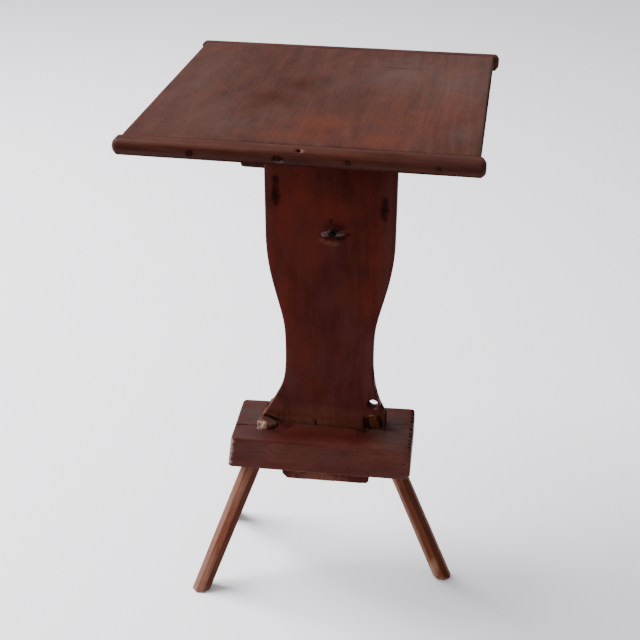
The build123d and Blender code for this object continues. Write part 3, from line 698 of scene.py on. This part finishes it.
# Pedestal: one vase-shaped board with its grain upright, red-brown stain under old polish,
# rust-black round its nails and the clamp, and bare wood at the tenon's broken end. Painted
# shade darkens it under the top, below the wing nut, in the notch and along its right edge;
# painted light lightens its left edge, the wood round the nut and its foot.
plank_front = -0.008
plank_middle = 0.0
left_edge_y = -0.002
pedestal_voxel = 0.0014
pedestal_seed = 53
pedestal_pith = (0.03, 0.14)
pedestal_tones = {
    "dark": (0.0195, 0.0018, 0.0011), "middle": (0.036, 0.0032, 0.0019), "pale": (0.051, 0.0074, 0.0045),
    "haze_and_sheen": (0.05, 0.0125, 0.011), "glow": (0.068, 0.0076, 0.0032), "worn": (0.028, 0.0085, 0.0115),
    "grime_and_shade": (0.011, 0.0052, 0.0047), "raw_and_light": (0.1472, 0.0538, 0.0346),
}


def upright_marks(depth, reach, *rows):
    """Marks of wear, stain, painted light and shade on an upright face, each row x, height, two radii,
    strength and, if clear, its edge.
    """
    return [((x, depth, z), (wide, reach, tall), *rest) for x, z, wide, tall, *rest in rows]


# Rust round the nails and the bolt, and dark patches; the two long marks just below the wing nut are
# painted shadow.
nail_rust_and_nut_shadow = upright_marks(
    plank_front, 0.006,
    (-0.0541, 0.5363, 0.0048, 0.0145, 1.0), (-0.0541, 0.5553, 0.0042, 0.0062, 0.7),
    (0.0691, 0.5275, 0.0048, 0.015, 1.0), (0.0285, 0.4932, 0.004, 0.0026, 0.6),
    (0.0085, 0.5085, 0.0013, 0.0032, 1.0), (0.019, 0.4885, 0.0085, 0.004, 0.9),
    (0.01, 0.4872, 0.012, 0.003, 0.6), (0.022, 0.45, 0.024, 0.014, 0.3, 0.8),
    (0.012, 0.37, 0.026, 0.07, 0.25, 0.8))
shade_under_top = upright_marks(
    plank_front, 0.012, (0.042, 0.592, 0.05, 0.05, 0.55, 0.8), (0.0, 0.63, 0.09, 0.014, 0.35, 0.8))
# Painted shade on the right edge, which faces away from the lamp.
shaded_right_edge = upright_marks(
    plank_middle, 0.012,
    (0.0745, 0.27, 0.0035, 0.014, 0.75), (0.0675, 0.29, 0.0035, 0.014, 0.75),
    (0.0625, 0.313, 0.003, 0.018, 0.65), (0.0785, 0.246, 0.003, 0.016, 0.75),
    (0.0565, 0.2674, 0.003, 0.006, 0.8))
# The slanted edge of the left foot is darker.
darker_left_foot_edge = upright_marks(
    left_edge_y, 0.012,
    (-0.056, 0.273, 0.005, 0.012, 0.35), (-0.063, 0.262, 0.005, 0.011, 0.35),
    (-0.07, 0.251, 0.005, 0.011, 0.35))
# Painted shade in the notch round the right leg's stub.
shaded_notch = (upright_marks(plank_middle, 0.008, (0.066, 0.2405, 0.018, 0.015, 0.8))
                + upright_marks(plank_front, 0.008, (0.0525, 0.24, 0.0032, 0.011, 0.9)))
pedestal_marks = {
    "iron": nail_rust_and_nut_shadow + shade_under_top + shaded_right_edge + darker_left_foot_edge + shaded_notch,
    # Warm red patches; the two low, wide ones at the foot are painted light.
    "glow": upright_marks(
        plank_front, 0.02,
        (-0.043, 0.505, 0.018, 0.05, 1.0), (-0.03, 0.54, 0.028, 0.035, 1.0),
        (0.006, 0.515, 0.035, 0.026, 0.9), (-0.062, 0.465, 0.012, 0.035, 0.8),
        (0.052, 0.405, 0.012, 0.032, 0.8), (-0.005, 0.24, 0.08, 0.01, 0.8),
        (-0.047, 0.4, 0.014, 0.045, 1.0), (-0.022, 0.47, 0.022, 0.03, 0.8),
        (0.06, 0.47, 0.014, 0.035, 0.7), (-0.022, 0.335, 0.018, 0.035, 0.5),
        (0.006, 0.255, 0.045, 0.01, 0.3)),
    # Greyer patches; the one up the left edge is a painted highlight, and the wide one at the foot and the
    # one round the wing nut are painted light.
    "haze_and_sheen": upright_marks(
        plank_front, 0.02,
        (0.02, 0.447, 0.028, 0.016, 0.45), (0.028, 0.372, 0.016, 0.045, 0.9),
        (0.074, 0.48, 0.01, 0.14, 0.9), (0.014, 0.405, 0.024, 0.024, 0.7),
        (-0.066, 0.49, 0.009, 0.13, 1.0), (-0.05, 0.38, 0.007, 0.1, 0.9),
        (0.058, 0.33, 0.014, 0.07, 0.9), (0.004, 0.252, 0.095, 0.03, 1.0),
        (-0.042, 0.3, 0.016, 0.06, 0.9), (0.01, 0.32, 0.05, 0.05, 0.55)) + upright_marks(
        plank_front, 0.01,
        (0.012, 0.502, 0.02, 0.013, 0.75), (-0.055, 0.273, 0.008, 0.012, 1.0, 2.0),
        (-0.062, 0.262, 0.008, 0.011, 1.0, 2.0), (-0.068, 0.251, 0.009, 0.011, 1.0, 2.0)),
    # Bare wood at the tenon's end and worn wood below the nut; the wide marks along the foot and the one on
    # the notch wall by the left stub are painted light.
    "raw_and_light": upright_marks(
        plank_front, 0.01,
        (-0.003, 0.146, 0.034, 0.012, 0.62), (-0.015, 0.234, 0.085, 0.0105, 0.85, 0.8),
        (-0.01, 0.243, 0.09, 0.014, 0.45, 0.8), (-0.056, 0.247, 0.015, 0.015, 0.42, 0.8)) + upright_marks(
        plank_front, 0.004,
        (-0.0015, 0.484, 0.004, 0.003, 0.28), (0.0055, 0.481, 0.0055, 0.003, 0.32),
        (0.0135, 0.4798, 0.0055, 0.003, 0.28)) + [
        ((0.0655, -0.0075, 0.2622), (0.003, 0.003, 0.002), 0.7),
        ((-0.066, -0.0045, 0.236), (0.016, 0.005, 0.0085), 0.95, 2.5)],
}
pedestal = worn_copy("pedestal_plank", pedestal_voxel, rounding=1, unevenness=0.0002, seed=pedestal_seed,
                     marks=pedestal_marks)
pedestal_stain = stained_wood("pedestal_stain", pedestal_tones, along_z, pedestal_pith, pedestal_seed,
                              gloss=0.45, polish=0.06, fibre_share=0.6, streak_share=0.18,
                              thread_share=0.2, nook_share=0.3)
hang(pedestal, "stand", "pedestal_plank", pedestal_stain)

# Strip and toe nails: three larger nails through the pedestal hold the guide strips, and
# one slanting nail at its foot pins it to the block.
strip_nail_places = [(-0.0541, -0.0075, 0.5363), (-0.0541, -0.0075, 0.5553), (0.0691, -0.0075, 0.5283)]
strip_nail_head = 0.006
strip_nail_length = 0.0222
toe_nail_place = (-0.0087, -0.008, 0.233)
toe_nail_slope = math.atan2(0.57, 0.82)
toe_nail_head = 0.0046
toe_nail_length = 0.038
drive_nails("guide_strip_nails", "stand", strip_nail_places, facing=(math.pi / 2, 0.0, 0.0),
            head=strip_nail_head, length=strip_nail_length, seed=7, iron=nail_iron)
drive_nails("toe_nail", "stand", [toe_nail_place], facing=(toe_nail_slope, 0.0, 0.0),
            head=toe_nail_head, length=toe_nail_length, seed=9, iron=rusty_iron)

# Clamp: a coach bolt through the slot and the pedestal, a washer, and a cast wing nut whose
# ears are rubbed bright by fingers. The front of its hub is darker, partly old dirt and partly
# painted shade; painted shade lies below its right ear, and painted light on the washer and on
# the tops of the ears.
bolt_tones = {
    "dark": (0.006, 0.0025, 0.0021), "middle": (0.01, 0.0042, 0.0036), "pale": (0.016, 0.0075, 0.0065),
    "rust": (0.013, 0.005, 0.004), "bright": (0.02, 0.011, 0.01),
    "haze_and_sheen": (0.02, 0.011, 0.01), "deep": (0.006, 0.0025, 0.0021),
}
# Painted light: these washer tones are kept light to lift the washer out of the nut's shade.
washer_lit_tones = {
    "dark": (0.07, 0.017, 0.012), "middle": (0.12, 0.029, 0.02), "pale": (0.16, 0.055, 0.042),
    "rust": (0.14, 0.03, 0.017),
}
wing_tones = {
    "dark": (0.036, 0.0195, 0.0165), "middle": (0.07, 0.042, 0.036), "pale": (0.12, 0.083, 0.072),
    "rust": (0.05, 0.023, 0.018), "bright": (0.24, 0.168, 0.148),
    "haze_and_sheen": (0.3, 0.19, 0.16), "deep": (0.011, 0.0045, 0.004),
}
bolt_skin = old_iron("bolt_iron_skin", bolt_tones, 97, gloss=0.8, shine=0.1, rub_share=0.1)
washer_skin = old_iron("washer_iron_skin", washer_lit_tones, 99, gloss=0.85, shine=0.1)
wing_skin = old_iron("wing_nut_iron_skin", wing_tones, 101, gloss=0.5, shine=0.3, rub_share=0.7)
ear_radii = (0.0055, 0.0045, 0.0032)
# Painted light on the tops of the ears; painted shade below the right ear; the hub's front darker, partly
# dirt and partly painted shade.
clamp_marks = {
    "iron": [((0.0121, -0.0175, 0.496), (0.0052, 0.005, 0.006), 0.9, 2.5),
             ((0.0225, -0.0185, 0.4965), (0.0055, 0.004, 0.004), 0.4, 1.5)],
    "haze_and_sheen": [((0.0025, -0.0155, 0.4985), ear_radii, 1.0, 1.5),
             ((0.0225, -0.0155, 0.4985), ear_radii, 0.4, 1.5)],
}
# Body, voxel, skin, slot and seed of each piece.
clamp_pieces = {
    "clamp_bolt": ("stand", 0.00045, bolt_skin, "bolt_iron", 103),
    "clamp_washer": ("stand", 0.0004, washer_skin, "bolt_iron", 107),
    "wing_nut": ("wing_nut", 0.0004, wing_skin, "wing_nut_iron", 109),
}
for clamp_node, (clamp_body, clamp_voxel, clamp_skin, clamp_slot, clamp_seed) in clamp_pieces.items():
    clamp_piece = worn_copy(clamp_node, clamp_voxel, rounding=2, unevenness=0.00008, seed=clamp_seed,
                            marks=clamp_marks)
    hang(clamp_piece, clamp_body, clamp_node, clamp_skin)

# Base block: a thick block with its grain from end to end, gouge-cut along the arrises of
# its ends, with drying cracks from both ends. It stands a little askew under the pedestal.
# Painted shade darkens the front of its top and its top round the plank's foot.
block_top = 0.23
block_low = 0.1858
block_middle = Vector((0.00225, -0.0055, 0.0))
block_half_length = 0.1105
block_half_depth = 0.04435
block_rear_flare = 0.006
block_left_slant = 0.0057
block_turn = Matrix.Rotation(math.radians(2.3), 4, "Z")
block_voxel = 0.001
block_seed = 61
block_pith = (0.02, 0.1)
block_tones = {
    "dark": (0.0365, 0.0077, 0.0053), "middle": (0.0575, 0.0136, 0.0096), "pale": (0.081, 0.0242, 0.0183),
    "haze_and_sheen": (0.034, 0.0222, 0.0205), "glow": (0.034, 0.0036, 0.0016), "worn": (0.08, 0.033, 0.03),
    "grime_and_shade": (0.0145, 0.0032, 0.0036), "raw_and_light": (0.2, 0.14, 0.125),
}


def on_block(x, y, z):
    """Place on the askew block from the place on a square one."""
    turned = block_turn @ Vector((x, y, 0.0)) + block_middle
    return (turned.x, turned.y, z)


right_gouges = (0.06, 0.14, 0.23, 0.31, 0.5, 0.6, 0.66, 0.76, 0.83, 0.91)
right_gouge_size = (0.0019, 0.0011)
right_gouge_reach = 0.0042
left_gouges = (0.3, 0.52, 0.72)
left_gouge_size = (0.0014, 0.0005)
left_gouge_reach = 0.0026
gouge_foot = block_top - 0.0026
# The wide drying crack runs along the top from the left end and on down the end. A fine one
# opens at the right end. Each cut is its start, end, width and depth.
block_cuts = [
    ((-0.109, -0.0235, block_top), (-0.078, -0.0212, block_top), 0.0017, 0.003),
    ((-0.108, -0.0235, block_top), (-0.111, -0.0235, block_top - 0.02), 0.0015, 0.003),
    ((0.086, 0.0085, block_top), (0.104, 0.0105, block_top), 0.0009, 0.0007),
]
for share in right_gouges:
    gouge_y = block_half_depth + block_rear_flare - share * (2.0 * block_half_depth + block_rear_flare)
    block_cuts.append((on_block(block_half_length - right_gouge_reach, gouge_y, block_top),
                       on_block(block_half_length, gouge_y, gouge_foot), *right_gouge_size))
for share in left_gouges:
    gouge_y = block_half_depth * (1.0 - 2.0 * share)
    block_cuts.append((on_block(left_gouge_reach - block_half_length, gouge_y, block_top),
                       on_block(-block_half_length, gouge_y, gouge_foot), *left_gouge_size))
scallop_radii = (0.0036, 0.0036, 0.0044)
scallop_x = 0.0016 - block_half_length
scallop_y = 0.0008 - block_half_depth
corner_scallops = []
for share in (0.14, 0.3, 0.46, 0.62, 0.8):
    scallop_z = block_top - share * (block_top - block_low)
    scallop = on_block(scallop_x - share * block_left_slant, scallop_y, scallop_z)
    corner_scallops.append((scallop, scallop_radii, 0.95))
block_marks = {
    "raw_and_light": corner_scallops + level_marks(block_top, 0.003, (-0.0755, -0.0268, 0.004, 0.0032, 0.7))
    + level_marks(block_top, 0.004, (0.095, -0.022, 0.03, 0.03, 0.16, 0.8)),
    "haze_and_sheen": level_marks(
        block_top, 0.006,
        (-0.098, -0.02, 0.025, 0.022, 0.9), (0.088, 0.012, 0.03, 0.024, 1.0),
        (0.07, 0.0, 0.03, 0.016, 0.85), (-0.09, -0.036, 0.035, 0.018, 0.95)) + [
        ((-0.095, 0.005, block_top), (0.035, 0.035, 0.008), 0.95),
        ((0.09, -0.02, block_top), (0.02, 0.02, 0.005), 0.5),
        ((0.016, -0.05, 0.211), (0.02, 0.01, 0.012), 0.3),
        ((-0.08, -0.05, 0.212), (0.03, 0.01, 0.02), 0.3)],
    # Painted shade in the block's dark glow tone: the front of its top, shaded by the table top, and its
    # top in the plank's notch.
    "glow": level_marks(
        block_top, 0.004,
        (-0.012, -0.028, 0.045, 0.016, 0.95), (0.04, -0.03, 0.03, 0.012, 0.8),
        (0.06, -0.022, 0.01, 0.008, 0.9)) + [
        ((0.05, 0.012, block_top), (0.01, 0.034, 0.006), 1.0),
        ((0.109, 0.045, block_top), (0.006, 0.01, 0.02), 0.9)],
    # Dark stains; the mark at the plank's notch is painted shade, and the one right of the left stub
    # painted shadow.
    "iron": level_marks(
        block_top, 0.006, (-0.047, -0.0175, 0.0145, 0.0115, 0.85), (0.05, 0.008, 0.009, 0.03, 0.85))
    + level_marks(
        block_top, 0.0035,
        (-0.035, -0.037, 0.05, 0.02, 0.66, 0.8), (-0.055, -0.031, 0.021, 0.014, 0.8, 0.8)) + [
        ((0.106, -0.048, 0.21), (0.0018, 0.004, 0.0018), 0.7),
        ((0.105, -0.048, 0.195), (0.0018, 0.004, 0.0018), 0.7)],
}
block = worn_copy("base_block", block_voxel, rounding=4, unevenness=0.0002, seed=block_seed,
                  cuts=block_cuts, marks=block_marks)
block_stain = stained_wood("block_stain", block_tones, along_x, block_pith, block_seed,
                           gloss=0.54, polish=0.07, ring_share=0.03, fibre_share=0.25,
                           blotch_share=0.85, streak_share=0.05, thread_share=0.12)
hang(block, "stand", "base_block", block_stain)

# Legs: three straight-grained legs shaved to eight sides, thinly stained, pale where the
# shaving knife and the floor have worn them. The stubs of the left two took up the block's stain.
# Painted light lightens the facets turned to the lamp and painted shade darkens those turned
# from it, and the right leg's tones are a darker copy of the left legs' as painted shade.
leg_voxel = 0.001
leg_pith = (0.03, 0.02)
left_leg_tones = {
    "dark": (0.074, 0.0225, 0.0118), "middle": (0.13, 0.043, 0.0232), "pale": (0.178, 0.073, 0.047),
    "haze_and_sheen": (0.225, 0.125, 0.095), "glow": (0.08, 0.0225, 0.014), "worn": (0.3, 0.17, 0.135),
    "grime_and_shade": (0.0075, 0.0026, 0.002), "raw_and_light": (0.27, 0.175, 0.13),
}
# Painted shade: the right leg's tones are the left legs' tones darkened, as it turns from the lamp.
right_leg_shade = (0.72, 0.6, 0.5)
right_leg_tones = {label: tuple(np.multiply(tone, right_leg_shade))
                   for label, tone in left_leg_tones.items()}
right_leg_tones |= {"haze_and_sheen": (0.17, 0.046, 0.016), "raw_and_light": (0.34, 0.2, 0.13)}
front_left_foot, front_left_head = (-0.149, -0.074, 0.0), (-0.067, -0.0165, 0.232)
rear_left_foot, rear_left_head = (-0.1452, 0.08, 0.0), (-0.065, 0.026, 0.232)
right_foot, right_head = (0.1606, 0.003, 0.0), (0.064, 0.008, 0.236)
foot_radii = (0.014, 0.014, 0.012)
neck_radii = (0.016, 0.016, 0.02)
grime_radii = (0.02, 0.02, 0.024)
glow_radii = (0.024, 0.024, 0.03)
front_left_marks = {
    "glow": [(front_left_head, glow_radii, 1.0)],
    "iron": [((-0.0575, -0.0165, 0.234), (0.0115, 0.03, 0.03), 0.68, 4.0),
             ((-0.068, -0.0125, 0.238), (0.014, 0.0125, 0.02), 0.75, 2.5)],
    "raw_and_light": [(front_left_foot, foot_radii, 0.35),
            ((-0.0705, -0.0255, 0.234), (0.0042, 0.0055, 0.005), 1.0, 3.0),
            ((-0.064, -0.018, 0.238), (0.014, 0.016, 0.014), 0.15, 1.5)],
}
rear_left_marks = {
    "glow": [(rear_left_head, glow_radii, 1.0)],
    "iron": [(rear_left_head, grime_radii, 0.5)],
    "raw_and_light": [(rear_left_foot, foot_radii, 0.35)],
}
# Right leg: the dark mark left of its stub is painted shade in the notch; the pale marks on its head and
# foot are painted light lifting its shaded tones.
right_marks = {
    "glow": [(right_head, glow_radii, 0.4)],
    "iron": [(right_head, grime_radii, 0.1), ((0.054, 0.008, 0.236), (0.005, 0.014, 0.022), 0.65)],
    "haze_and_sheen": [((0.157, 0.0, 0.01), (0.03, 0.03, 0.05), 0.9, 0.8), (right_head, (0.022, 0.022, 0.022), 1.0)],
    "raw_and_light": [((0.147, -0.006, 0.006), (0.0085, 0.012, 0.027), 0.8, 1.5),
            ((0.158, -0.008, 0.0), (0.012, 0.006, 0.006), 0.6)],
}
# Painted light and shade by facet: facets turned to dim_side are darkened as painted shade, and those
# turned the other way lightened as painted light.
dim_side = (0.8, -0.59, -0.1)
left_facets = (("glow", dim_side, 1.0), ("iron", dim_side, 0.3), ("haze_and_sheen", (-0.71, -0.61, 0.36), 0.5))
right_facets = (("glow", dim_side, 1.0), ("iron", dim_side, 0.1), ("raw_and_light", (-0.69, -0.66, -0.3), 0.3))
facet_spread = 0.8
facet_edge = 0.12


def paint_facet_light(piece, label, direction, strength):
    """Paints a mark of painted light or painted shade on the facets of a piece that look in one direction.
    """
    mesh = piece.data
    layer = mesh.attributes[label].data
    normals = numbers_of(mesh.vertex_normals, "vector", 3)
    share = np.clip((normals @ np.array(direction) - facet_spread) / facet_edge, 0.0, 1.0)
    values = np.maximum(numbers_of(layer, "value", 1)[:, 0], strength * share)
    layer.foreach_set("value", values.astype(np.float32))


# Foot, head, marks, facets, tones and seed of each leg.
legs = {
    "front_left_leg": (front_left_foot, front_left_head, front_left_marks, left_facets, left_leg_tones, 71),
    "rear_left_leg": (rear_left_foot, rear_left_head, rear_left_marks, left_facets, left_leg_tones, 73),
    "right_leg": (right_foot, right_head, right_marks, right_facets, right_leg_tones, 79),
}
for leg_node, (leg_foot, leg_head, leg_marks, leg_facets, leg_tones, leg_seed) in legs.items():
    leg_axis = (Vector(leg_head) - Vector(leg_foot)).normalized()
    leg_turn = leg_axis.rotation_difference(Vector((0.0, 0.0, 1.0))).to_euler()
    leg_neck = tuple(Vector(leg_foot).lerp(Vector(leg_head), 0.8))
    leg_marks["iron"].append((leg_neck, neck_radii, 0.25, 0.8))
    leg = worn_copy(leg_node, leg_voxel, rounding=0, unevenness=0.00015, seed=leg_seed, marks=leg_marks)
    for label, direction, strength in leg_facets:
        paint_facet_light(leg, label, direction, strength)
    leg_stain = stained_wood(leg_node + "_stain", leg_tones, tuple(leg_turn), leg_pith, leg_seed,
                             gloss=0.5, polish=0.06, rub_share=0.8)
    hang(leg, "stand", leg_node, leg_stain)

# Leg wedge: an unstained wedge driven beside the front left leg's stub and broken off in
# chunks. The side towards the plank has taken up grime.
wedge_voxel = 0.0005
wedge_seed = 113
wedge_pith = (0.02, 0.03)
wedge_tones = {
    "dark": (0.15, 0.095, 0.065), "middle": (0.27, 0.19, 0.14), "pale": (0.4, 0.3, 0.235),
    "haze_and_sheen": (0.42, 0.34, 0.26), "glow": (0.4, 0.22, 0.1), "worn": (0.6, 0.5, 0.38),
    "grime_and_shade": (0.03, 0.016, 0.012), "raw_and_light": (0.5, 0.4, 0.28),
}
wedge_breaks = [
    ((-0.0765, -0.026, 0.2325), (-0.0765, -0.007, 0.2325), 0.0013, 0.0014),
    ((-0.084, -0.0185, 0.2325), (-0.067, -0.0185, 0.2325), 0.0012, 0.0012),
]
wedge_marks = {"iron": [((-0.0755, -0.0055, 0.2335), (0.014, 0.0185, 0.01), 0.92, 4.0)]}
wedge = worn_copy("front_left_wedge", wedge_voxel, rounding=1, unevenness=0.0006, seed=wedge_seed,
                  cuts=wedge_breaks, marks=wedge_marks)
wedge_wood = stained_wood("wedge_wood", wedge_tones, along_z, wedge_pith, wedge_seed, gloss=0.7, polish=0.2)
hang(wedge, "stand", "front_left_wedge", wedge_wood)
